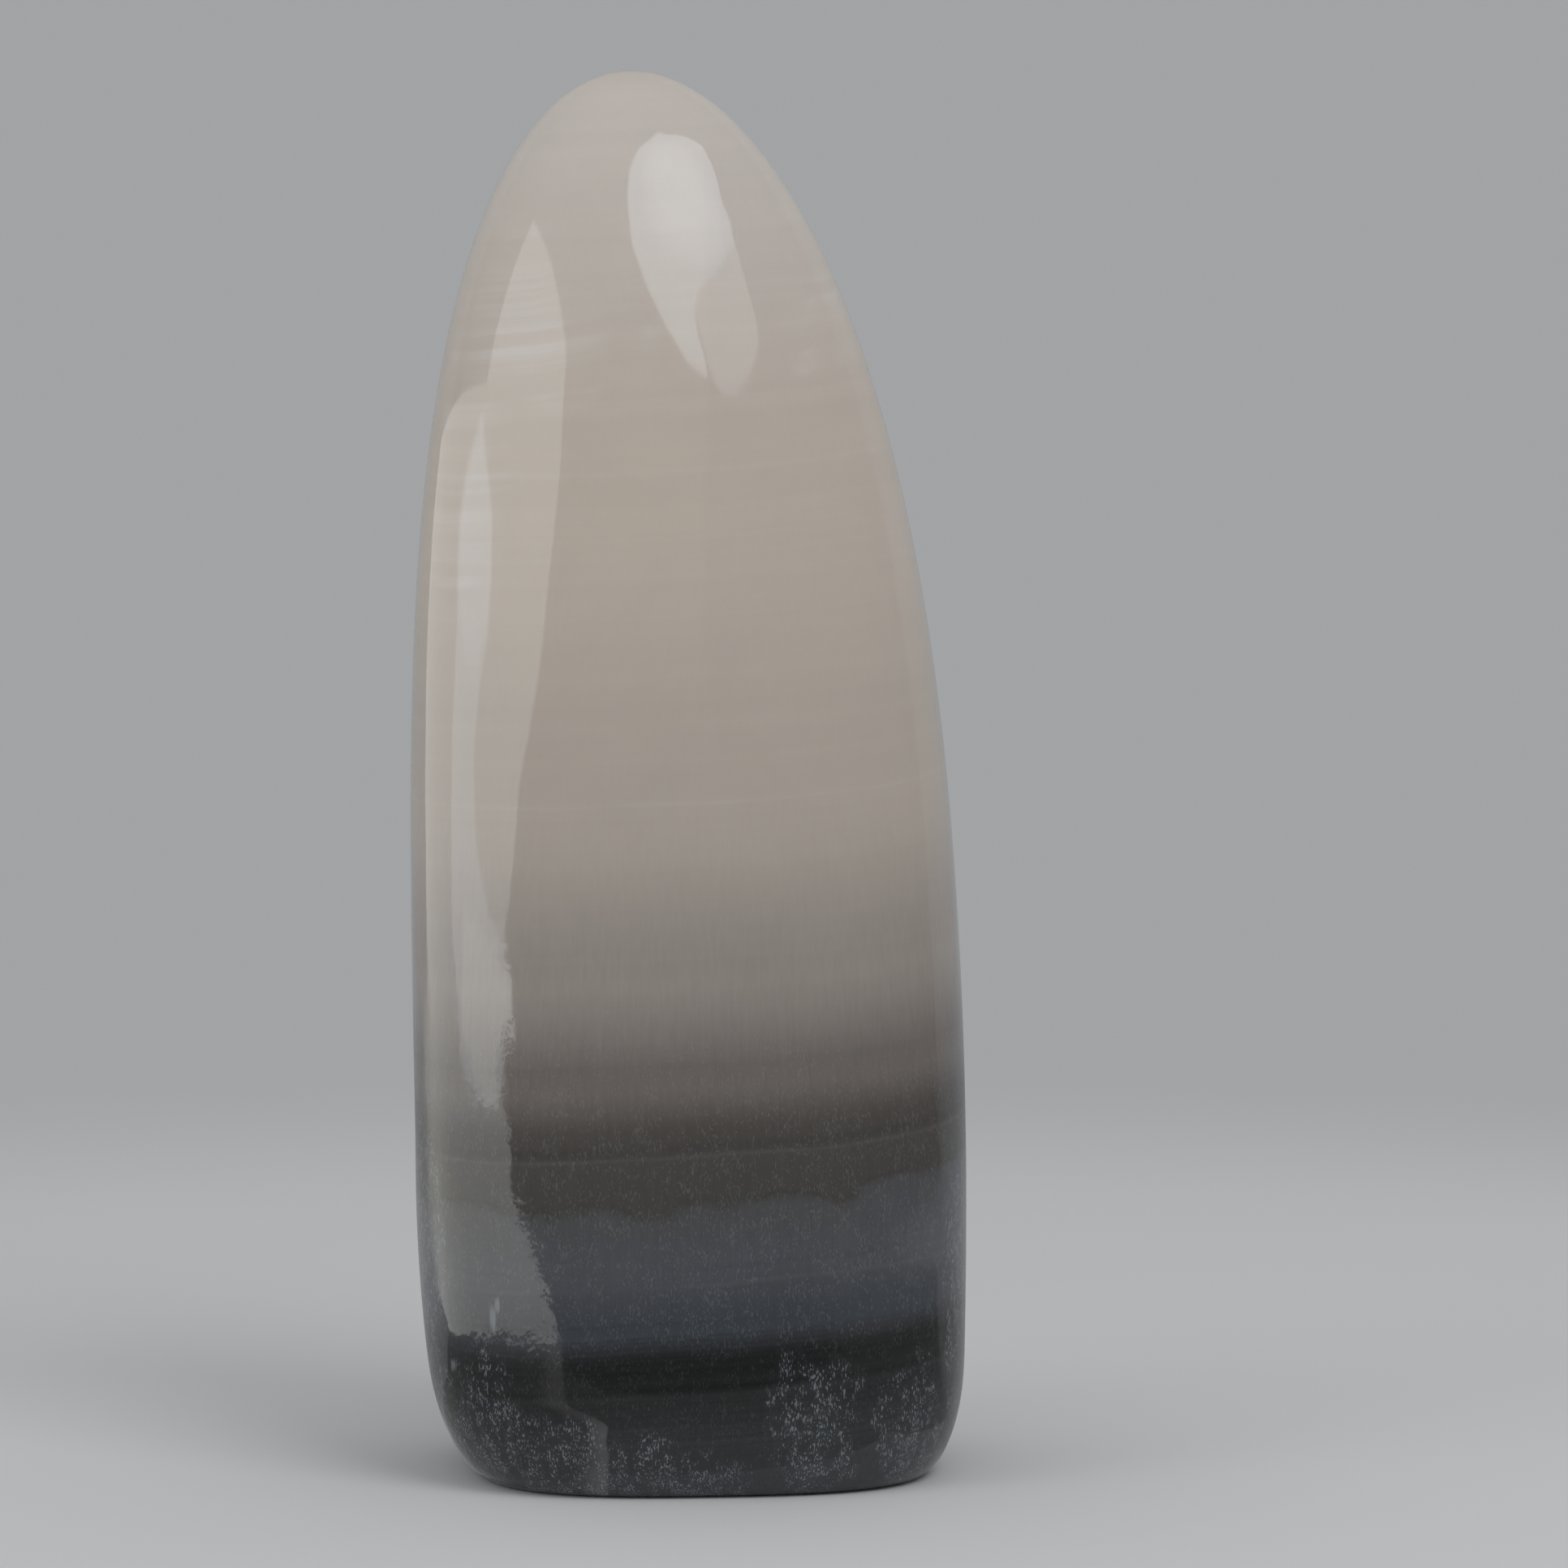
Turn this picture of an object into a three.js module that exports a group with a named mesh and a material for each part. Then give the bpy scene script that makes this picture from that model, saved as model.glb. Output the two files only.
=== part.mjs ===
// A polished calcite freeform: one tall rounded stone that stands on a small flat foot.
// Millimetres, +Z up, X across the front from left to right, +Y away from the front.
// The origin is on the ground, under the middle of the stone's box.
import * as THREE from "three";

// Driving dimensions of the upright outline
const stoneHeight = 138;
const bellyHeight = 30; // where the stone is widest
const halfWidth = 27.2; // across the belly
const halfDepth = 21.6; // through the foot, front to back

// How the outline closes above and below the belly
const widthShoulder = 2.92; // the higher, the fuller the shoulders seen from the front
const depthShoulder = 1.65; // the same, seen from the side, where the stone thins from the foot up
const widthTaper = 0.065; // share of the width lost between belly and foot
const footEdgeRise = 11; // height of the ground-off edge round the foot
const footEdgeInset = 4.2; // how far that edge draws the foot in

// The line through the middles of the sections
const tipLean = -5.8; // the tip stands left of the belly
const tipSetBack = 2.4; // and behind it
const leanPower = 1.62;
const footShift = 1.1; // the foot stands right of the belly
const footForward = 1.1; // and in front of it
const footTurn = 5; // degrees, left end of the foot towards the front
const turnEndsAt = 70; // height where the twist has faded out

// Section shape: 2 is an ellipse, more is squarer, with a flatter front
const footSquareness = 2.9;
const tipSquareness = 2.05;
const squareUpTo = 20; // height where the sections start to soften
const softFrom = 110; // height where they are fully soft

// Soft flats left by hand grinding on front and back: how many run round the stone,
// how deep as a share of the half-depth, and how they twist on their way up
const grindFlats = [
  { count: 3, depth: 0.011, phase: 0.9, twist: 0.9 },
  { count: 5, depth: 0.006, phase: -1.1, twist: -1.6 },
  { count: 2, depth: 0.012, phase: 0.5, twist: 1.3 },
];

// Mesh fineness
const sidesRound = 80;
const ringsInFootEdge = 8;
const ringsAboveFootEdge = 46;
const profileSamples = 600;

// 0 at the belly, 1 at the tip
const riseOf = (z) =>
  Math.max(0, (z - bellyHeight) / (stoneHeight - bellyHeight));

// 0 at the belly, 1 on the ground
const dropOf = (z) => Math.max(0, (bellyHeight - z) / bellyHeight);

// Closing curve of an outline: 1 at its start, 0 at the tip
const domeOf = (share, shoulder) =>
  Math.sqrt(Math.max(0, 1 - share ** shoulder));

// How far the rounded foot edge draws a section in
function edgeInsetAt(z) {
  const left = Math.max(0, 1 - z / footEdgeRise);
  return footEdgeInset * (1 - Math.sqrt(1 - left ** 2));
}

// Half-width and half-depth of the section at a height
function widthAt(z) {
  const taper = 1 - widthTaper * dropOf(z) ** 2;
  return halfWidth * domeOf(riseOf(z), widthShoulder) * taper - edgeInsetAt(z);
}
const depthAt = (z) =>
  halfDepth * domeOf(z / stoneHeight, depthShoulder) - edgeInsetAt(z);

// Middle of the section at a height
function middleOf(z) {
  const rise = riseOf(z);
  const lean = rise ** leanPower;
  const drop = dropOf(z) ** 2;
  return new THREE.Vector2(
    tipLean * lean + footShift * drop,
    tipSetBack * lean - footForward * drop,
  );
}

// Turn of the section about the upright, in radians
function turnAt(z) {
  const fade = 1 - THREE.MathUtils.smoothstep(z, 0, turnEndsAt);
  return THREE.MathUtils.degToRad(footTurn) * fade;
}

// Distance from the middle to a unit section's rim, in the direction of the angle
function rimOf(angle, z) {
  const squareness = THREE.MathUtils.lerp(
    footSquareness,
    tipSquareness,
    THREE.MathUtils.smoothstep(z, squareUpTo, softFrom),
  );
  const across = Math.abs(Math.cos(angle)) ** squareness;
  const through = Math.abs(Math.sin(angle)) ** squareness;
  return (across + through) ** (-1 / squareness);
}

// Hand-ground flats, which fade out towards the tip and the foot
function grindingAt(angle, z) {
  const share = z / stoneHeight;
  const fade =
    THREE.MathUtils.smoothstep(share, 0, 0.2) *
    (1 - THREE.MathUtils.smoothstep(share, 0.75, 1));
  let relief = 0;
  for (const flat of grindFlats) {
    relief +=
      flat.depth *
      Math.cos(flat.count * angle + flat.phase + flat.twist * share);
  }
  return 1 + fade * relief;
}

// A point of the surface
function surfacePoint(angle, z) {
  const reach = rimOf(angle, z);
  const across = widthAt(z) * reach * Math.cos(angle);
  const through =
    depthAt(z) * reach * grindingAt(angle, z) * Math.sin(angle);
  const section = new THREE.Vector2(across, through)
    .rotateAround(new THREE.Vector2(), turnAt(z))
    .add(middleOf(z));
  return new THREE.Vector3(section.x, section.y, z);
}

// Heights of the rings: close together on the foot's edge, then evenly spaced along the outline
function ringHeights() {
  const start = footEdgeRise;
  const heights = [];
  for (let ring = 0; ring <= ringsInFootEdge; ring++) {
    const turn = ((ring / ringsInFootEdge) * Math.PI) / 2;
    heights.push(footEdgeRise * (1 - Math.cos(turn)));
  }
  const outline = [];
  for (let i = 0; i <= profileSamples; i++) {
    // Samples crowd towards the tip, where the outline turns flat
    const share = Math.sin(((i / profileSamples) * Math.PI) / 2);
    const z = start + (stoneHeight - start) * share;
    outline.push(new THREE.Vector2(widthAt(z), z));
  }
  const lengths = [0];
  for (let i = 1; i < outline.length; i++) {
    lengths.push(lengths[i - 1] + outline[i].distanceTo(outline[i - 1]));
  }
  let at = 1;
  for (let ring = 1; ring < ringsAboveFootEdge; ring++) {
    const wanted = (lengths[lengths.length - 1] * ring) / ringsAboveFootEdge;
    while (lengths[at] < wanted) at++;
    const part = (wanted - lengths[at - 1]) / (lengths[at] - lengths[at - 1]);
    heights.push(
      THREE.MathUtils.lerp(outline[at - 1].y, outline[at].y, part),
    );
  }
  return heights;
}

// The closed surface: foot centre, rings from the ground up, tip
function stoneGeometry() {
  const rings = ringHeights();
  const points = [];
  const footMiddle = middleOf(0);
  points.push(new THREE.Vector3(footMiddle.x, footMiddle.y, 0));
  for (const z of rings) {
    for (let side = 0; side < sidesRound; side++) {
      const angle = (side / sidesRound) * 2 * Math.PI;
      points.push(surfacePoint(angle, z));
    }
  }
  const tipMiddle = middleOf(stoneHeight);
  points.push(new THREE.Vector3(tipMiddle.x, tipMiddle.y, stoneHeight));

  const faces = [];
  const at = (ring, side) => 1 + ring * sidesRound + (side % sidesRound);
  const tip = points.length - 1;
  for (let side = 0; side < sidesRound; side++) {
    faces.push(0, at(0, side + 1), at(0, side));
    faces.push(tip, at(rings.length - 1, side), at(rings.length - 1, side + 1));
    for (let ring = 0; ring < rings.length - 1; ring++) {
      const a = at(ring, side);
      const b = at(ring, side + 1);
      const c = at(ring + 1, side + 1);
      const d = at(ring + 1, side);
      faces.push(a, b, c, a, c, d);
    }
  }

  const geometry = new THREE.BufferGeometry().setFromPoints(points);
  geometry.setIndex(faces);
  geometry.computeBoundingBox();
  const box = geometry.boundingBox;
  geometry.translate(
    -(box.min.x + box.max.x) / 2,
    -(box.min.y + box.max.y) / 2,
    -box.min.z,
  );
  geometry.computeVertexNormals();
  return geometry;
}

const polishedCalcite = new THREE.MeshStandardMaterial({
  color: 0xb9aba0,
  roughness: 0.18,
  metalness: 0,
});

const stone = new THREE.Mesh(stoneGeometry(), polishedCalcite);
stone.name = "stone";

const freeform = new THREE.Group();
freeform.add(stone);

export default freeform;
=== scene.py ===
import math

import bmesh
import bpy
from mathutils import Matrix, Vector


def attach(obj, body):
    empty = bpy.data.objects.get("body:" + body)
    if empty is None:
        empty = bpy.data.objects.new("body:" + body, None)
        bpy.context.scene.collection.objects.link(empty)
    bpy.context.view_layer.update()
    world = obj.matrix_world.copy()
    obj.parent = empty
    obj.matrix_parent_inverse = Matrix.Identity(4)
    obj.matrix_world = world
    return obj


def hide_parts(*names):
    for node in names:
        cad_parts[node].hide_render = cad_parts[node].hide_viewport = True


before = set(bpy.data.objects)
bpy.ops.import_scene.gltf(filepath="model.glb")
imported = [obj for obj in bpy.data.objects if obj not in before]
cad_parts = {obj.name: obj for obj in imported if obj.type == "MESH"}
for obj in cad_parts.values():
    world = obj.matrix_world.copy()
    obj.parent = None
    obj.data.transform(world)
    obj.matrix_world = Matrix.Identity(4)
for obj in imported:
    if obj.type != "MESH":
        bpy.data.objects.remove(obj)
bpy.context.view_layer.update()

mm = 0.001
mmPerMetre = 1000.0

# kinds of sockets that the node groups use
number = "NodeSocketFloat"
whole = "NodeSocketInt"
vector = "NodeSocketVector"
geometry = "NodeSocketGeometry"


def newObject(name, data):
    thing = bpy.data.objects.new(name, data)
    bpy.context.scene.collection.objects.link(thing)
    return thing


def newMesh(name, work):
    mesh = bpy.data.meshes.new(name)
    work.to_mesh(mesh)
    work.free()
    return mesh


def emptyTree(owner):
    # the owner is a material or the world
    owner.use_nodes = True
    owner.node_tree.nodes.clear()
    return owner.node_tree


def place(tree, kind, at=(0, 0), **settings):
    node = tree.nodes.new(kind)
    node.location = at
    for name, value in settings.items():
        setattr(node, name, value)
    return node


def plug(tree, value, socket):
    # a socket is linked, anything else is set on the input itself
    if isinstance(value, bpy.types.NodeSocket):
        tree.links.new(value, socket)
    else:
        socket.default_value = value


def calc(tree, operation, a, b=0.0, c=0.0):
    node = place(tree, "ShaderNodeMath", operation=operation)
    for socket, value in zip(node.inputs, (a, b, c)):
        plug(tree, value, socket)
    return node.outputs[0]


def farFrom(tree, value, middle):
    return calc(tree, "ABSOLUTE", calc(tree, "SUBTRACT", value, middle))


def sway(tree, noise, amount, base):
    # the base, moved up or down by the noise, at most half the amount each way
    return calc(tree, "MULTIPLY_ADD", calc(tree, "SUBTRACT", noise, 0.5), amount, base)


def spread(tree, value, low, high, outLow=0.0, outHigh=1.0):
    # smooth step from low to high
    node = place(tree, "ShaderNodeMapRange", interpolation_type="SMOOTHSTEP")
    for socket, item in zip(node.inputs, (value, low, high, outLow, outHigh)):
        plug(tree, item, socket)
    return node.outputs[0]


def blendColour(tree, mask, below, above, how="MIX"):
    node = place(tree, "ShaderNodeMix", data_type="RGBA", blend_type=how)
    for index, value in ((0, mask), (6, below), (7, above)):
        if not isinstance(value, bpy.types.NodeSocket) and index > 0:
            value = (*value, 1.0)
        plug(tree, value, node.inputs[index])
    return node.outputs[2]


def cloudNoise(tree, where, scale, detail=2.0, roughness=0.5, dimensions="3D", seed=0.0):
    # 1D noise takes a height in place of a point, and 4D noise takes a seed as well
    node = place(tree, "ShaderNodeTexNoise", noise_dimensions=dimensions)
    plug(tree, where, node.inputs["W" if dimensions == "1D" else "Vector"])
    if dimensions == "4D":
        plug(tree, seed, node.inputs["W"])
    plug(tree, scale, node.inputs["Scale"])
    plug(tree, detail, node.inputs["Detail"])
    plug(tree, roughness, node.inputs["Roughness"])
    return node.outputs[0]


def stretched(tree, where, upright):
    # a share below 1 draws a pattern out upright
    node = place(tree, "ShaderNodeMapping")
    plug(tree, where, node.inputs["Vector"])
    node.inputs["Scale"].default_value = (1, 1, upright)
    return node.outputs[0]


def newGroup(name, kind, inputs, outputs):
    tree = bpy.data.node_groups.new(name, kind)
    for direction, sockets in (("INPUT", inputs), ("OUTPUT", outputs)):
        for label, socketKind in sockets.items():
            tree.interface.new_socket(label, in_out=direction, socket_type=socketKind)
    return tree, tree.nodes.new("NodeGroupInput").outputs, tree.nodes.new("NodeGroupOutput").inputs


def useGroup(tree, group, values):
    node = place(tree, "ShaderNodeGroup", node_tree=group)
    for name, value in values.items():
        plug(tree, value, node.inputs[name])
    return node.outputs


camera = {
    "place": (9.44 * mm, -520 * mm, 92.1 * mm),
    "tiltDown": 2.70,  # degrees
    "lens": 121.1,  # millimetres, as the sensor
    "sensor": 36,
    "near": 0.01,  # metres, as far
    "far": 20,
}


def makeCamera():
    data = bpy.data.cameras.new("camera")
    data.lens = camera["lens"]
    data.sensor_width = camera["sensor"]
    data.clip_start = camera["near"]
    data.clip_end = camera["far"]
    eye = newObject("camera", data)
    eye.location = camera["place"]
    eye.rotation_euler = (math.radians(90 - camera["tiltDown"]), 0, 0)
    bpy.context.scene.camera = eye


makeCamera()
print("camera placed")


# how the solid's loose triangles become clean quads before they are subdivided
cleaning = {
    "mergeWithin": 0.002 * mm,
    "faceAngle": 40,  # degrees, as the next
    "shapeAngle": 60,
}

# inputs of the handPolish tree: soft unevenness left by hand polishing, in metres
polish = {
    "Levels": 2,
    "Wave Height": 0.05 * mm,
    "Wave Size": 16 * mm,
    "Fine Height": 0.02 * mm,
    "Fine Size": 6 * mm,
    "Foot Stays": 3 * mm,  # the waves fade out below this height, so the foot stays flat
    "Seed": 7.0,
}
footFlatShare = 0.3  # share of Foot Stays below which nothing moves
waveDetail = 1.0


def quadCopy(source, name):
    # the solid is loose triangles, so its doubles are merged and the triangles paired into quads
    mesh = source.data.copy()
    mesh.name = name
    work = bmesh.new()
    work.from_mesh(mesh)
    bmesh.ops.remove_doubles(work, verts=work.verts, dist=cleaning["mergeWithin"])
    bmesh.ops.join_triangles(
        work,
        faces=work.faces,
        angle_face_threshold=math.radians(cleaning["faceAngle"]),
        angle_shape_threshold=math.radians(cleaning["shapeAngle"]),
    )
    bmesh.ops.recalc_face_normals(work, faces=work.faces)
    for face in work.faces:
        face.smooth = True
    work.to_mesh(mesh)
    work.free()
    mesh.materials.clear()
    return newObject(name, mesh)


def polishTree(material):
    tree, given, result = newGroup(
        "handPolish", "GeometryNodeTree",
        {
            "Stone": geometry, "Levels": whole, "Wave Height": number, "Wave Size": number,
            "Fine Height": number, "Fine Size": number, "Foot Stays": number, "Seed": number,
        },
        {"Stone": geometry},
    )
    smooth = place(tree, "GeometryNodeSubdivisionSurface")
    plug(tree, given["Stone"], smooth.inputs["Mesh"])
    plug(tree, given["Levels"], smooth.inputs["Level"])

    where = place(tree, "GeometryNodeInputPosition").outputs[0]
    normal = place(tree, "GeometryNodeInputNormal").outputs[0]
    split = place(tree, "ShaderNodeSeparateXYZ")
    plug(tree, where, split.inputs[0])

    def wave(size, height):
        scale = calc(tree, "DIVIDE", 1.0, size)
        noise = cloudNoise(tree, where, scale, waveDetail, dimensions="4D", seed=given["Seed"])
        # the noise only cuts into the stone, never stands proud of the solid
        return calc(tree, "MULTIPLY", calc(tree, "SUBTRACT", noise, 1.0), height)

    coarse = wave(given["Wave Size"], given["Wave Height"])
    fine = wave(given["Fine Size"], given["Fine Height"])
    flatBelow = calc(tree, "MULTIPLY", given["Foot Stays"], footFlatShare)
    fade = spread(tree, split.outputs[2], flatBelow, given["Foot Stays"])
    offset = place(tree, "ShaderNodeVectorMath", operation="SCALE")
    plug(tree, normal, offset.inputs[0])
    depth = calc(tree, "MULTIPLY", calc(tree, "ADD", coarse, fine), fade)
    plug(tree, depth, offset.inputs["Scale"])

    move = place(tree, "GeometryNodeSetPosition")
    plug(tree, smooth.outputs[0], move.inputs["Geometry"])
    plug(tree, offset.outputs[0], move.inputs["Offset"])
    shade = place(tree, "GeometryNodeSetShadeSmooth")
    plug(tree, move.outputs[0], shade.inputs[0])
    real = place(tree, "GeometryNodeRealizeInstances")
    plug(tree, shade.outputs[0], real.inputs[0])
    coat = place(tree, "GeometryNodeSetMaterial")
    plug(tree, real.outputs[0], coat.inputs["Geometry"])
    coat.inputs["Material"].default_value = material
    plug(tree, coat.outputs[0], result["Stone"])
    return tree


def setInputs(modifier, tree, values):
    ids = {item.name: item.identifier for item in tree.interface.items_tree if item.in_out == "INPUT"}
    for label, value in values.items():
        modifier[ids[label]] = value


def settled(piece, name):
    # the evaluated shape as a plain mesh, with no modifier left on it
    bpy.context.view_layer.update()
    evaluated = piece.evaluated_get(bpy.context.evaluated_depsgraph_get())
    mesh = bpy.data.meshes.new_from_object(evaluated)
    mesh.name = name
    result = newObject(name, mesh)
    bpy.data.objects.remove(piece)
    return result


def makeStone(material):
    rough = quadCopy(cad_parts["stone"], "roughStone")
    tree = polishTree(material)
    modifier = rough.modifiers.new("handPolish", "NODES")
    modifier.node_group = tree
    setInputs(modifier, tree, polish)
    return settled(rough, "polishedStone")


def inMillimetres(tree, where):
    scaled = place(tree, "ShaderNodeVectorMath", operation="SCALE")
    plug(tree, where, scaled.inputs[0])
    scaled.inputs["Scale"].default_value = mmPerMetre
    split = place(tree, "ShaderNodeSeparateXYZ")
    plug(tree, scaled.outputs[0], split.inputs[0])
    return scaled.outputs[0], split.outputs


# inputs of the layerHeight group, lengths in millimetres
growth = {
    "Rise": 0.054,  # to the right, per millimetre
    "Rise Back": 0.12,
    "Front": -19.5,  # Y where the rise to the back starts
    "Ripple": 0.4,
    "Ripple Size": 14.0,
}
rippleDetail = 1.0


def makeLayerHeight():
    # height through the growth layers, in millimetres: they rise to the right and to the back, and ripple
    tree, given, result = newGroup(
        "layerHeight", "ShaderNodeTree",
        {
            "Where": vector, "Rise": number, "Rise Back": number,
            "Front": number, "Ripple": number, "Ripple Size": number,
        },
        {"Height": number},
    )
    x, y, z = inMillimetres(tree, given["Where"])[1]
    depth = calc(tree, "SUBTRACT", y, given["Front"])
    riseRight = calc(tree, "MULTIPLY", x, given["Rise"])
    riseBack = calc(tree, "MULTIPLY", depth, given["Rise Back"])
    level = calc(tree, "SUBTRACT", z, calc(tree, "ADD", riseRight, riseBack))
    scale = calc(tree, "DIVIDE", mmPerMetre, given["Ripple Size"])
    noise = cloudNoise(tree, given["Where"], scale, rippleDetail)
    plug(tree, sway(tree, noise, calc(tree, "MULTIPLY", given["Ripple"], 2.0), level), result["Height"])
    return tree


breakRange = (0.38, 0.6)  # noise levels between which a broken line goes from missing to whole


def makeThinLayer():
    # a thin layer at one height, which comes and goes along its length
    tree, given, result = newGroup(
        "thinLayer", "ShaderNodeTree",
        {"Height": number, "Breaks": number, "At": number, "Half Width": number, "Broken": number},
        {"Mask": number},
    )
    body = spread(tree, farFrom(tree, given["Height"], given["At"]), given["Half Width"], 0.0)
    gaps = spread(tree, given["Breaks"], *breakRange)
    always = calc(tree, "SUBTRACT", 1.0, given["Broken"])
    kept = calc(tree, "ADD", calc(tree, "MULTIPLY", gaps, given["Broken"]), always)
    plug(tree, calc(tree, "MULTIPLY", body, kept), result["Mask"])
    return tree


patchRim = (1.1, 0.45)  # shares of the reach between which a patch fades in


def makeSoftPatch():
    # a soft-edged patch round a middle, in millimetres; the noise given as Rag makes its rim ragged
    tree, given, result = newGroup(
        "softPatch", "ShaderNodeTree",
        {"Spot": vector, "Middle": vector, "Reach": vector, "Rag": number, "Ragged": number},
        {"Mask": number},
    )
    away = place(tree, "ShaderNodeVectorMath", operation="SUBTRACT")
    plug(tree, given["Spot"], away.inputs[0])
    plug(tree, given["Middle"], away.inputs[1])
    share = place(tree, "ShaderNodeVectorMath", operation="DIVIDE")
    plug(tree, away.outputs[0], share.inputs[0])
    plug(tree, given["Reach"], share.inputs[1])
    length = place(tree, "ShaderNodeVectorMath", operation="LENGTH")
    plug(tree, share.outputs[0], length.inputs[0])
    raggedness = calc(tree, "MULTIPLY", given["Ragged"], 2.0)
    torn = sway(tree, given["Rag"], raggedness, length.outputs["Value"])
    plug(tree, spread(tree, torn, *patchRim), result["Mask"])
    return tree


# inputs of the crystalFlecks group
fleckGrain = {
    "Size": 0.135,  # millimetres
    "Rare": 0.75,  # noise level that a fleck has to pass where they are rare
    "Common": 0.52,  # and where they crowd
}
fleckUpright = 0.32
fleckDetail = 1.0
fleckEdge = 0.09


def makeCrystalFlecks():
    # fine upright crystals: the noise passes the threshold in more places where they crowd
    tree, given, result = newGroup(
        "crystalFlecks", "ShaderNodeTree",
        {"Where": vector, "Size": number, "Crowding": number, "Rare": number, "Common": number},
        {"Mask": number},
    )
    scale = calc(tree, "DIVIDE", mmPerMetre, given["Size"])
    grain = cloudNoise(tree, stretched(tree, given["Where"], fleckUpright), scale, fleckDetail)
    drop = calc(tree, "MULTIPLY", given["Crowding"], calc(tree, "SUBTRACT", given["Common"], given["Rare"]))
    low = calc(tree, "ADD", given["Rare"], drop)
    plug(tree, spread(tree, grain, low, calc(tree, "ADD", low, fleckEdge)), result["Mask"])
    return tree


layerHeight = makeLayerHeight()
thinLayer = makeThinLayer()
softPatch = makeSoftPatch()
crystalFlecks = makeCrystalFlecks()
print("effects ready")


calcite = {
    "topHeight": 138.0,
    # growth zones from the foot up: height in millimetres and colour
    "zones": [
        # the lowest stops grow lighter towards the bottom, partly as painted reflection of the floor, which
        # the dim sheet keeps out of the foot's real reflection
        (0.0, (0.042, 0.047, 0.053)),
        (5.5, (0.033, 0.037, 0.041)),
        (9.5, (0.021, 0.023, 0.024)),
        (12.0, (0.013, 0.014, 0.014)),
        (13.6, (0.013, 0.014, 0.014)),
        (17.0, (0.062, 0.070, 0.082)),
        (23.0, (0.102, 0.106, 0.120)),
        (27.0, (0.100, 0.101, 0.107)),
        (28.5, (0.080, 0.077, 0.072)),
        (34.5, (0.094, 0.085, 0.079)),
        (40.0, (0.205, 0.184, 0.170)),
        (50.0, (0.385, 0.348, 0.317)),
        (66.0, (0.555, 0.496, 0.440)),
        (95.0, (0.655, 0.583, 0.510)),
        (133.5, (0.730, 0.678, 0.630)),
        (138.0, (0.640, 0.575, 0.505)),
    ],
    # pale colour of the thin layers and wisps, also used for the painted reflection low on the front
    "milkAndSheen": (0.80, 0.775, 0.74),
    "crystal": (0.42, 0.46, 0.51),
    "subsurface": 0.45,
    "radius": (5.0 * mm, 4.0 * mm, 3.2 * mm),
    "gloss": 0.05,
    "index": 1.55,
}

# noise over the surface: how far it is drawn out upright, scale, detail and roughness
patterns = {
    "clouds": (1, 150, 3.0, 0.62),
    "breaks": (0.3, 95, 2.0, 0.6),
    "tufts": (0.6, 900, 3.0, 0.65),
    "fibres": (0.10, 2300, 2.0, 0.6),
    "facets": (0.6, 260, 4.0, 0.58),
}

# noise over the height through the layers: scale, detail and roughness
layerPatterns = {
    "fine": (0.35, 4.0, 0.7),
    "foot": (1.3, 2.0, 0.6),
    "wisps": (0.40, 3.0, 0.6),
}

# the line where brown turns to blue-grey, in millimetres
boundary = {
    "at": 27.6,
    "near": (3.4, 0.4),  # it is scalloped within the first distance, fully within the second
    "scallops": 4.6,
    "frays": 2.4,
    "stepUp": 1.7,  # it steps up at the right, over these X
    "stepAt": (15.0, 18.5),
    "rim": (28.4, 0.5, 0.12, 0.6),  # a dark line along it, given as in darkLines
}

# how much each pattern lightens and darkens the stone, and between which heights
shading = {
    "layers": 0.07,
    "clouds": 0.06,
    "fibres": 0.26,
    "fibresBelow": (75.0, 30.0, 0.1, 1.0),
    "footLayersBelow": (19.0, 15.0),
    "footLayersAbove": (3.0, 7.0, 0.0, 0.9),
}

# thin dark layers: height, half width (millimetres), strength, how broken
darkLines = [
    (33.7, 0.9, 0.16, 0.2),
    (11.2, 0.35, 0.20, 0.4),
    (22.4, 0.5, 0.08, 0.6),
    (41.5, 0.8, 0.05, 0.6),
]

# thin pale layers: height, half width (millimetres), strength, how broken
paleLines = [
    (32.9, 0.32, 0.026, 0.3),
    (20.8, 0.40, 0.020, 0.6),
    (66.2, 0.35, 0.08, 0.6),
    (89.5, 0.50, 0.05, 0.7),
    (97.5, 0.40, 0.09, 0.5),
    (110.5, 0.45, 0.05, 0.8),
]

# a faint upright seam in the front's upper half, right of which the stone is a touch greyer
seam = {
    "at": (2.2, 3.4),
    "wander": 2.0,
    "above": (72.0, 90.0),
    "front": (2.0, -5.0),
    "strength": 0.5,
    "tint": (0.955, 0.955, 0.985),
}

# milky wisps: middle, reach (millimetres), strength
wisps = [
    ((-17.5, -8.0, 114.0), (8.0, 12.0, 9.0), 0.38),
    ((-12.0, -9.0, 109.5), (9.0, 12.0, 6.0), 0.36),
    ((-22.0, -6.0, 98.0), (6.0, 12.0, 18.0), 0.20),
    ((14.5, -7.0, 113.0), (5.0, 9.0, 9.0), 0.45),
    ((-9.0, 12.0, 100.0), (16.0, 12.0, 22.0), 0.20),
]
wispForm = {
    "slope": -0.10,  # they rise a little more to the right than the layers do
    "bend": 1.5,
    "strands": (0.36, 0.76),
    "torn": (0.36, 0.58),
    "ragged": 0.8,
}

# painted reflection: a short pale upright streak low on the front that carries the left sheen's reflection
# down over the foot, in millimetres
paintedSheen = {
    "stepRight": 4.2,  # its lower part stands further right, below these heights
    "stepBelow": (9.8, 7.2),
    "wander": 2.2,
    "left": (-14.4, -12.2),
    "right": (-11.4, -11.8),
    "top": (17.0, 14.5),
    "front": (-8.0, -14.0),
    "brightBelow": (8.6, 7.0),
    "strength": 0.030,
    "bright": 0.060,
}

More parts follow.
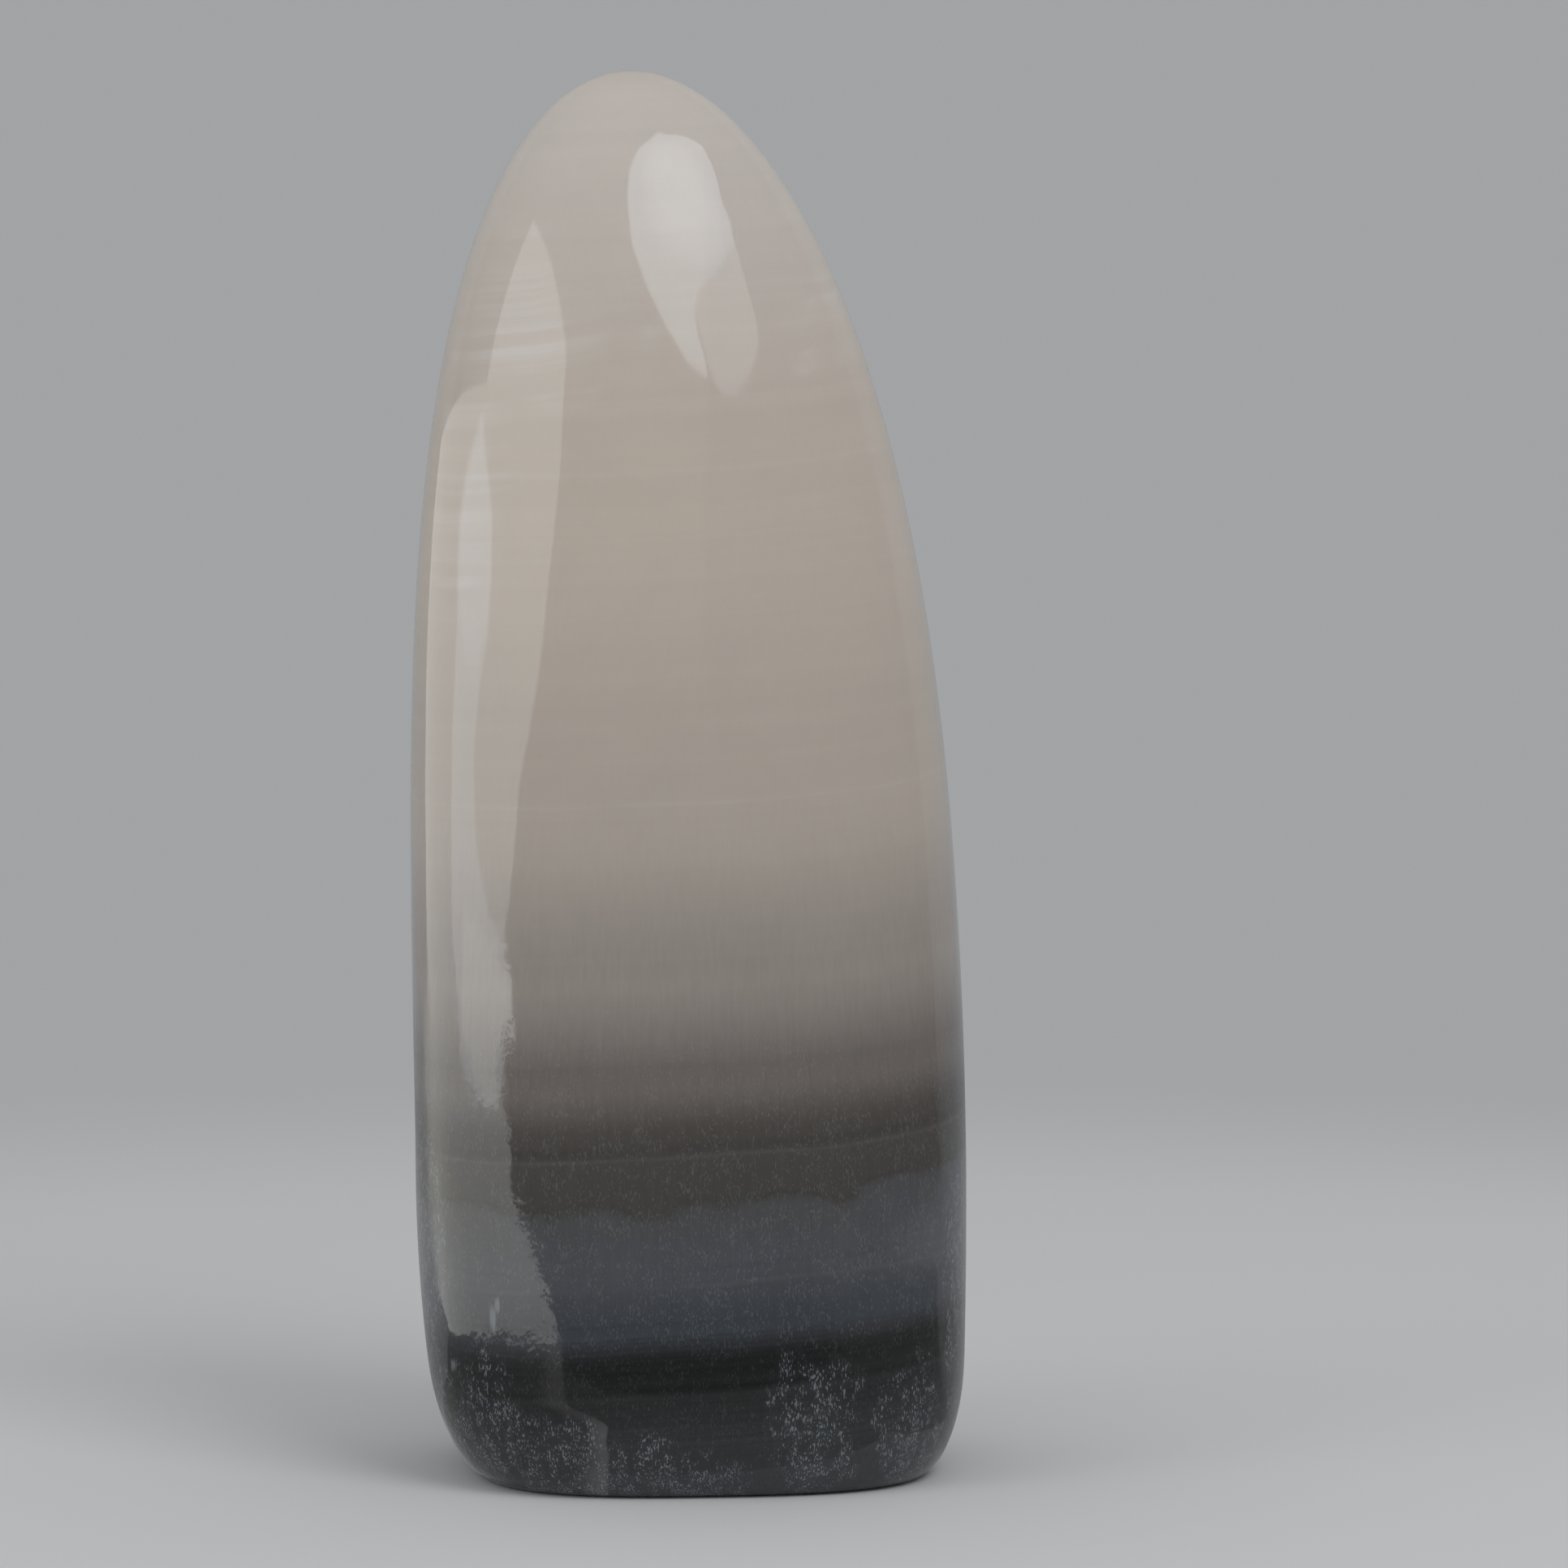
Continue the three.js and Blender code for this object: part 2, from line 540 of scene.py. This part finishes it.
# where crystals crowd together: middle, reach (millimetres), how densely
crowds = [
    ((-18.5, -14.0, 6.5), (7.0, 12.0, 9.5), 0.95),
    ((-12.5, -19.0, 3.0), (6.5, 9.0, 5.5), 0.80),
    ((12.6, -18.0, 5.5), (5.0, 10.0, 9.5), 0.85),
    ((21.2, -12.5, 6.0), (3.9, 11.0, 10.0), 0.90),
    ((-2.0, -20.0, 2.0), (12.0, 8.0, 6.0), 0.70),
    ((-25.0, -9.5, 24.5), (2.3, 8.5, 15.0), 0.86),
    ((25.6, -8.0, 18.5), (2.0, 9.0, 17.0), 0.60),
    ((4.0, 17.0, 6.0), (15.0, 10.0, 9.0), 0.85),
]

# single bright crystals: middle, reach (millimetres)
stars = [
    ((-18.4, -17.5, 17.4), (0.42, 4.0, 1.7)),
    ((-18.0, -17.6, 18.6), (0.35, 4.0, 1.0)),
    ((-22.4, -13.0, 12.2), (0.35, 4.0, 0.9)),
]

# how the crystals lie, and how pale they are: ranges in and out, heights in millimetres
flecks = {
    "crowdsRagged": 1.0,
    "scattered": (62.0, 36.0, 0.0, 0.96),
    "tufted": (0.36, 0.60, 0.35, 1.0),
    "pale": (13.5, 17.5, 0.05, 0.115),
    "paleInCrowds": (0.05, 0.7, 0.0, 0.46),
    "below": (60.0, 40.0),
    "haze": (0.30, 0.70, 0.01, 0.055),
    "hazeBelow": (54.0, 30.0),
    "starsRagged": 0.6,
    "starStrength": 0.38,
}

# the narrow ends near the foot, which are less well polished, in millimetres
ends = {
    "middle": 0.4,
    "outside": (23.6, 24.8),
    "below": (60.0, 34.0),
    "duller": 0.22,
}

# relief in millimetres: shallow facets low down, fibres, and a grain that only the ends show
relief = {
    "lowDown": (66.0, 38.0, 0.12, 1.0),
    "facets": 0.044,
    "fibres": 0.0007,
    "endGrain": 0.022,
}


def pattern(tree, where, name):
    upright, scale, detail, roughness = patterns[name]
    return cloudNoise(tree, stretched(tree, where, upright), scale, detail, roughness)


def layerPattern(tree, height, name):
    return cloudNoise(tree, height, *layerPatterns[name], dimensions="1D")


def zoneColours(tree, height):
    ramp = place(tree, "ShaderNodeValToRGB", (-900, 200))
    ramp.color_ramp.interpolation = "EASE"
    stops = ramp.color_ramp.elements
    while len(stops) < len(calcite["zones"]):
        stops.new(0.5)
    for stop, (at, colour) in zip(stops, calcite["zones"]):
        stop.position = at / calcite["topHeight"]
        stop.color = (*colour, 1)
    plug(tree, calc(tree, "DIVIDE", height, calcite["topHeight"]), ramp.inputs[0])
    return ramp.outputs[0]


def layerMask(tree, height, breaks, at, halfWidth, broken):
    values = {"Height": height, "Breaks": breaks, "At": at, "Half Width": halfWidth, "Broken": broken}
    return useGroup(tree, thinLayer, values)["Mask"]


def patchMask(tree, spot, middle, reach, rag, ragged):
    values = {"Spot": spot, "Middle": middle, "Reach": reach, "Rag": rag, "Ragged": ragged}
    return useGroup(tree, softPatch, values)["Mask"]


def darkenLine(tree, level, height, breaks, line):
    at, halfWidth, strength, broken = line
    mask = layerMask(tree, height, breaks, at, halfWidth, broken)
    return calc(tree, "MULTIPLY", level, calc(tree, "MULTIPLY_ADD", mask, -strength, 1.0))


def makeCalcite():
    material = bpy.data.materials.new("calcite")
    tree = emptyTree(material)
    out = place(tree, "ShaderNodeOutputMaterial", (900, 0))
    shader = place(tree, "ShaderNodeBsdfPrincipled", (600, 0))
    tree.links.new(shader.outputs[0], out.inputs["Surface"])
    where = place(tree, "ShaderNodeTexCoord", (-1600, 0)).outputs["Object"]
    spot, (x, y, z) = inMillimetres(tree, where)
    height = useGroup(tree, layerHeight, {"Where": where, **growth})["Height"]
    clouds = pattern(tree, where, "clouds")
    breaks = pattern(tree, where, "breaks")
    tufts = pattern(tree, where, "tufts")
    fibres = pattern(tree, where, "fibres")

    # only the boundary between brown and blue-grey is scalloped
    near = spread(tree, farFrom(tree, height, boundary["at"]), *boundary["near"])
    scallop = sway(tree, clouds, boundary["scallops"], 0.0)
    scallop = sway(tree, tufts, boundary["frays"], scallop)
    stepped = spread(tree, x, *boundary["stepAt"])
    scallop = calc(tree, "MULTIPLY_ADD", stepped, -boundary["stepUp"], scallop)
    zoned = calc(tree, "MULTIPLY_ADD", near, scallop, height)
    colour = zoneColours(tree, zoned)

    # fine growth layers and upright fibres, lighter and darker by a few percent
    fibreShare = calc(tree, "MULTIPLY", spread(tree, z, *shading["fibresBelow"]), shading["fibres"])
    footBelow = spread(tree, z, *shading["footLayersBelow"])
    footAbove = spread(tree, z, *shading["footLayersAbove"])
    level = sway(tree, layerPattern(tree, height, "fine"), shading["layers"], 1.0)
    level = sway(tree, clouds, shading["clouds"], level)
    level = sway(tree, fibres, fibreShare, level)
    footShare = calc(tree, "MULTIPLY", footBelow, footAbove)
    level = sway(tree, layerPattern(tree, height, "foot"), footShare, level)
    for line in darkLines:
        level = darkenLine(tree, level, height, breaks, line)
    level = darkenLine(tree, level, zoned, breaks, boundary["rim"])
    grey = place(tree, "ShaderNodeCombineColor")
    for socket in grey.inputs[:3]:
        plug(tree, level, socket)
    colour = blendColour(tree, 1.0, colour, grey.outputs[0], "MULTIPLY")

    rightOfSeam = spread(tree, calc(tree, "MULTIPLY_ADD", clouds, seam["wander"], x), *seam["at"])
    greyer = calc(tree, "MULTIPLY", rightOfSeam, spread(tree, z, *seam["above"]))
    greyer = calc(tree, "MULTIPLY", greyer, spread(tree, y, *seam["front"]))
    greyer = calc(tree, "MULTIPLY", greyer, seam["strength"])
    colour = blendColour(tree, greyer, colour, seam["tint"], "MULTIPLY")

    for at, halfWidth, strength, broken in paleLines:
        mask = layerMask(tree, height, breaks, at, halfWidth, broken)
        colour = blendColour(tree, calc(tree, "MULTIPLY", mask, strength), colour, calcite["milkAndSheen"])

    # milky wisps lie nearly along the layers
    bent = calc(tree, "MULTIPLY_ADD", breaks, wispForm["bend"], height)
    bent = calc(tree, "MULTIPLY_ADD", x, wispForm["slope"], bent)
    strands = spread(tree, layerPattern(tree, bent, "wisps"), *wispForm["strands"])
    drawn = calc(tree, "MULTIPLY", strands, spread(tree, breaks, *wispForm["torn"]))
    for middle, reach, strength in wisps:
        patch = patchMask(tree, spot, middle, reach, clouds, wispForm["ragged"])
        mask = calc(tree, "MULTIPLY", patch, calc(tree, "MULTIPLY", drawn, strength))
        colour = blendColour(tree, mask, colour, calcite["milkAndSheen"])

    # the painted reflection of the left sheen, a pale streak low on the front
    wander = calc(tree, "MULTIPLY_ADD", spread(tree, z, *paintedSheen["stepBelow"]), -paintedSheen["stepRight"], x)
    wander = sway(tree, clouds, paintedSheen["wander"], wander)
    sheenStreak = calc(tree, "MULTIPLY", spread(tree, wander, *paintedSheen["left"]), spread(tree, wander, *paintedSheen["right"]))
    onFront = calc(tree, "MULTIPLY", spread(tree, z, *paintedSheen["top"]), spread(tree, y, *paintedSheen["front"]))
    sheenStreak = calc(tree, "MULTIPLY", sheenStreak, onFront)
    bright = spread(tree, z, *paintedSheen["brightBelow"], paintedSheen["strength"], paintedSheen["strength"] + paintedSheen["bright"])
    colour = blendColour(tree, calc(tree, "MULTIPLY", sheenStreak, bright), colour, calcite["milkAndSheen"])

    # crystals: sparse through the dark zones, crowded in patches near the foot
    crowded = 0.0
    for middle, reach, amount in crowds:
        patch = patchMask(tree, spot, middle, reach, clouds, flecks["crowdsRagged"])
        crowded = calc(tree, "MAXIMUM", crowded, calc(tree, "MULTIPLY", patch, amount))
    crowding = calc(tree, "MAXIMUM", crowded, spread(tree, z, *flecks["scattered"]))
    crowding = calc(tree, "MULTIPLY", crowding, spread(tree, tufts, *flecks["tufted"]))
    crystals = useGroup(tree, crystalFlecks, {"Where": where, "Crowding": crowding, **fleckGrain})["Mask"]
    paleness = spread(tree, z, *flecks["pale"])
    paleness = calc(tree, "MAXIMUM", paleness, spread(tree, crowded, *flecks["paleInCrowds"]))
    paleness = calc(tree, "MULTIPLY", spread(tree, z, *flecks["below"]), paleness)
    crystals = calc(tree, "MULTIPLY", crystals, paleness)
    haze = calc(tree, "MULTIPLY", crowded, spread(tree, tufts, *flecks["haze"]))
    haze = calc(tree, "MULTIPLY", haze, spread(tree, z, *flecks["hazeBelow"]))
    crystals = calc(tree, "MAXIMUM", crystals, haze)
    for middle, reach in stars:
        star = patchMask(tree, spot, middle, reach, fibres, flecks["starsRagged"])
        crystals = calc(tree, "MAXIMUM", crystals, calc(tree, "MULTIPLY", star, flecks["starStrength"]))
    colour = blendColour(tree, crystals, colour, calcite["crystal"])
    plug(tree, colour, shader.inputs["Base Color"])

    outside = spread(tree, farFrom(tree, x, ends["middle"]), *ends["outside"])
    atEnds = calc(tree, "MULTIPLY", outside, spread(tree, z, *ends["below"]))
    dullness = calc(tree, "MULTIPLY_ADD", atEnds, ends["duller"], calcite["gloss"])
    plug(tree, dullness, shader.inputs["Roughness"])

    lowDown = spread(tree, z, *relief["lowDown"])
    facetDepth = calc(tree, "MULTIPLY", lowDown, relief["facets"])
    facets = calc(tree, "MULTIPLY", pattern(tree, where, "facets"), facetDepth)
    fibreDepth = calc(tree, "MULTIPLY", lowDown, relief["fibres"])
    fibreDepth = calc(tree, "MULTIPLY_ADD", atEnds, relief["endGrain"], fibreDepth)
    bump = place(tree, "ShaderNodeBump")
    bump.inputs["Distance"].default_value = mm
    plug(tree, calc(tree, "MULTIPLY_ADD", fibres, fibreDepth, facets), bump.inputs["Height"])
    tree.links.new(bump.outputs[0], shader.inputs["Normal"])

    shader.inputs["IOR"].default_value = calcite["index"]
    shader.inputs["Subsurface Weight"].default_value = calcite["subsurface"]
    shader.inputs["Subsurface Radius"].default_value = calcite["radius"]
    shader.inputs["Subsurface Scale"].default_value = 1.0
    return material


stone = makeStone(makeCalcite())
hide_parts("stone")
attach(stone, "root")
print("stone made,", len(stone.data.polygons), "faces")


studio = {
    "floorRadius": 0.42,  # metres, as the next two
    "floorFadesFrom": 0.20,
    "floorFadesTo": 0.40,
    "floorSides": 96,
    "floorColour": (0.825, 0.83, 0.845),
    "floorRoughness": 0.85,
    "backdrop": (0.362, 0.368, 0.378),
    "roomDiffuse": 0.42,
    "roomGlossy": 0.14,
    "lightsAim": (0.0, 0.0, 0.07),
}


def makeFloor():
    work = bmesh.new()
    bmesh.ops.create_circle(
        work,
        cap_ends=True,
        segments=studio["floorSides"],
        radius=studio["floorRadius"],
    )
    floor = newObject("floor", newMesh("floor", work))
    material = bpy.data.materials.new("paleFloor")
    tree = emptyTree(material)
    out = place(tree, "ShaderNodeOutputMaterial")
    shader = place(tree, "ShaderNodeBsdfPrincipled")
    shader.inputs["Base Color"].default_value = (*studio["floorColour"], 1)
    shader.inputs["Roughness"].default_value = studio["floorRoughness"]
    shader.inputs["Specular IOR Level"].default_value = 0.0  # matt, so the cards leave no mark on it
    clear = place(tree, "ShaderNodeBsdfTransparent")
    mix = place(tree, "ShaderNodeMixShader")
    away = place(tree, "ShaderNodeVectorMath", operation="LENGTH")
    plug(tree, place(tree, "ShaderNodeTexCoord").outputs["Object"], away.inputs[0])
    faded = spread(tree, away.outputs["Value"], studio["floorFadesFrom"], studio["floorFadesTo"])
    plug(tree, faded, mix.inputs[0])
    tree.links.new(shader.outputs[0], mix.inputs[1])
    tree.links.new(clear.outputs[0], mix.inputs[2])
    tree.links.new(mix.outputs[0], out.inputs["Surface"])
    floor.data.materials.append(material)


def makeRoom():
    # the camera sees a plain backdrop, and reflections see a darker room than the diffuse light comes from
    world = bpy.data.worlds.new("room")
    bpy.context.scene.world = world
    tree = emptyTree(world)
    out = place(tree, "ShaderNodeOutputWorld")
    seen = place(tree, "ShaderNodeBackground")
    seen.inputs["Color"].default_value = (*studio["backdrop"], 1)
    soft = place(tree, "ShaderNodeBackground")
    soft.inputs["Color"].default_value = (1, 1, 1, 1)
    path = place(tree, "ShaderNodeLightPath").outputs
    darker = studio["roomGlossy"] - studio["roomDiffuse"]
    strength = calc(tree, "MULTIPLY_ADD", path["Is Glossy Ray"], darker, studio["roomDiffuse"])
    plug(tree, strength, soft.inputs["Strength"])
    mix = place(tree, "ShaderNodeMixShader")
    plug(tree, path["Is Camera Ray"], mix.inputs[0])
    tree.links.new(soft.outputs[0], mix.inputs[1])
    tree.links.new(seen.outputs[0], mix.inputs[2])
    tree.links.new(mix.outputs[0], out.inputs["Surface"])


# round soft lights: place, size (metres) and radiance; they don't show in reflections
lights = {
    "key": ((0.34, -0.40, 0.60), 0.42, 2.74),
    "leftFill": ((-0.50, -0.34, 0.23), 0.36, 1.50),
}

coolWhite = (0.87, 0.94, 1.0)
mildWhite = (0.93, 0.97, 1.0)
plainWhite = (0.98, 1.0, 0.97)
warmWhite = (1.0, 1.0, 0.93)

# panels off camera, which only show as reflections on the polished stone:
# the axis they face, their place on it, their corners on the other two (metres), radiance and colour
cards = {
    "leftWall": ("x", -0.53, [
        (-1.00, -0.02), (-1.02, 0.009), (-0.90, 0.016), (-0.80, 0.020), (-0.70, 0.023), (-0.62, 0.026),
        (-0.645, 0.030), (-0.578, 0.033), (-0.612, 0.040), (-0.569, 0.045), (-0.635, 0.053), (-0.601, 0.055),
        (-0.644, 0.061), (-0.580, 0.060), (-0.612, 0.067), (-0.520, 0.062), (-0.550, 0.071), (-0.483, 0.071),
        (-0.512, 0.078), (-0.474, 0.078), (-0.569, 0.087), (-0.502, 0.088), (-0.549, 0.095), (-0.519, 0.098),
        (-0.637, 0.110), (-0.675, 0.119), (-0.599, 0.118), (-0.636, 0.131), (-0.578, 0.129), (-0.617, 0.139),
        (-0.531, 0.132), (-0.556, 0.139), (-0.491, 0.134), (-0.524, 0.141), (-0.496, 0.142), (-0.535, 0.154),
        (-0.56, 0.170), (-0.58, 0.185), (-0.65, 0.23), (-0.78, 0.30), (-0.85, 0.38), (-0.93, 0.48),
        (-0.95, 0.62), (-0.62, 0.60), (-0.314, 0.53), (-0.23, 0.41), (-0.16, 0.29), (0.0, 0.255),
        (0.13, 0.23), (0.30, 0.20), (0.34, -0.02),
    ], 1.55, plainWhite),
    "leftWindow": ("x", -0.52, [
        (-0.146, 0.268), (-0.068, 0.229), (-0.030, 0.203), (-0.041, 0.182), (-0.055, 0.171), (-0.030, 0.13),
        (-0.020, 0.075), (-0.056, 0.064), (-0.040, 0.058), (-0.082, 0.061), (-0.055, 0.052), (-0.101, 0.053),
        (-0.070, 0.043), (-0.116, 0.045), (-0.085, 0.039), (-0.150, 0.043), (-0.125, 0.038), (-0.209, 0.046),
        (-0.192, 0.042), (-0.261, 0.048), (-0.300, 0.049), (-0.376, 0.059), (-0.428, 0.060), (-0.465, 0.068),
        (-0.429, 0.070), (-0.474, 0.078), (-0.438, 0.077), (-0.493, 0.083), (-0.466, 0.085), (-0.501, 0.095),
        (-0.605, 0.110), (-0.631, 0.117), (-0.560, 0.117), (-0.587, 0.127), (-0.542, 0.129), (-0.568, 0.136),
        (-0.484, 0.131), (-0.35, 0.125), (-0.23, 0.130), (-0.20, 0.150), (-0.24, 0.185), (-0.29, 0.215),
        (-0.295, 0.236), (-0.275, 0.257), (-0.224, 0.264),
    ], 2.5, mildWhite),
    "leftWindowFoot": ("x", -0.516, [
        (-0.12, 0.095), (-0.10, 0.060), (-0.13, 0.050), (-0.17, 0.055), (-0.22, 0.050), (-0.27, 0.056),
        (-0.31, 0.053), (-0.37, 0.065), (-0.41, 0.065), (-0.42, 0.078), (-0.45, 0.088), (-0.49, 0.100),
        (-0.58, 0.112), (-0.54, 0.122), (-0.48, 0.124), (-0.38, 0.116), (-0.25, 0.108),
    ], 3.0, plainWhite),
    "leftWindowTop": ("x", -0.515, [
        (-0.15, 0.262), (-0.085, 0.229), (-0.05, 0.203), (-0.06, 0.180), (-0.12, 0.168), (-0.20, 0.178),
        (-0.27, 0.210), (-0.28, 0.235), (-0.255, 0.252), (-0.21, 0.26),
    ], 3.0, coolWhite),
    "frontWindow": ("y", -0.45, [
        (-0.051, 0.428), (-0.064, 0.495), (-0.053, 0.593), (-0.012, 0.685), (0.042, 0.748), (0.14, 0.86),
        (0.256, 0.941), (0.38, 1.02), (0.507, 1.081), (0.47, 0.91), (0.432, 0.791), (0.390, 0.655),
        (0.347, 0.569), (0.204, 0.451), (0.109, 0.394), (0.084, 0.368), (0.092, 0.348), (0.094, 0.332),
        (0.050, 0.334), (0.015, 0.351), (-0.021, 0.383),
    ], 2.4, coolWhite),
    "frontWindowMiddle": ("y", -0.445, [
        (-0.005, 0.46), (-0.012, 0.54), (0.012, 0.64), (0.07, 0.73), (0.17, 0.80), (0.30, 0.84),
        (0.35, 0.72), (0.32, 0.60), (0.24, 0.50), (0.14, 0.43), (0.05, 0.42),
    ], 2.85, coolWhite),
    "frontWindowCore": ("y", -0.44, [
        (0.028, 0.60), (0.07, 0.67), (0.132, 0.71), (0.249, 0.745), (0.265, 0.641), (0.233, 0.544),
        (0.172, 0.481), (0.095, 0.445), (0.043, 0.455), (0.022, 0.503),
    ], 3.25, coolWhite),
    "frontWindowTail": ("y", -0.435, [
        (0.340, 0.561), (0.330, 0.497), (0.328, 0.452), (0.310, 0.417), (0.232, 0.364), (0.155, 0.328),
        (0.112, 0.322), (0.094, 0.332), (0.092, 0.348), (0.084, 0.368), (0.109, 0.394), (0.204, 0.451),
    ], 1.25, plainWhite),
    "leftCloth": ("z", 0.0015, [
        (-0.087, 0.014), (-0.103, -0.022), (-0.126, -0.10), (-0.156, -0.243), (-0.21, -0.55), (-0.34, -0.86),
        (-0.56, -1.27), (-1.3, -1.4), (-1.3, 0.35), (-0.40, 0.35), (-0.12, 0.06),
    ], 1.5, warmWhite),
    # painted shade: a dim sheet on the floor round the front of the foot, seen only in reflections, that
    # darkens what the stone's lower front reflects
    "shadeSheet": ("z", 0.001, [
        (-0.16, 0.03), (-0.03, 0.01), (-0.01, -0.022), (0.03, -0.022), (0.04, 0.008), (0.20, 0.03),
        (0.24, -0.16), (0.20, -0.40), (-0.19, -0.40), (-0.14, -0.20), (-0.13, -0.10),
    ], 0.25, plainWhite),
    "backCloth": ("y", 1.0, [
        (-3.0, -0.2), (3.0, -0.2), (3.0, 2.2), (-3.0, 2.2),
    ], 0.36, coolWhite),
}


def makeLight(name, at, size, radiance):
    data = bpy.data.lights.new(name, "AREA")
    data.shape = "DISK"
    data.size = size
    data.energy = radiance * size ** 2 * math.pi ** 2 / 4  # watts that give this radiance
    lamp = newObject(name, data)
    lamp.location = at
    direction = Vector(studio["lightsAim"]) - Vector(at)
    lamp.rotation_euler = direction.to_track_quat("-Z", "Y").to_euler()
    lamp.visible_glossy = False
    lamp.visible_camera = False


def cardCorner(axis, at, a, b):
    return {"x": (at, a, b), "y": (a, at, b), "z": (a, b, at)}[axis]


def makeCard(name, axis, at, corners, radiance, colour):
    work = bmesh.new()
    face = work.faces.new([work.verts.new(cardCorner(axis, at, a, b)) for a, b in corners])
    face.normal_update()  # without its normal, the notches in an outline would be filled
    bmesh.ops.triangulate(work, faces=[face])
    card = newObject(name, newMesh(name, work))
    material = bpy.data.materials.new(name)
    tree = emptyTree(material)
    glow = place(tree, "ShaderNodeEmission")
    glow.inputs["Color"].default_value = (*colour, 1)
    glow.inputs["Strength"].default_value = radiance
    tree.links.new(glow.outputs[0], place(tree, "ShaderNodeOutputMaterial").inputs["Surface"])
    card.data.materials.append(material)
    card.visible_camera = False
    card.visible_diffuse = False
    card.visible_shadow = False


makeFloor()
makeRoom()
for name, settings in lights.items():
    makeLight(name, *settings)
for name, settings in cards.items():
    makeCard(name, *settings)
bpy.context.scene.view_settings.view_transform = "Standard"
print("studio ready")
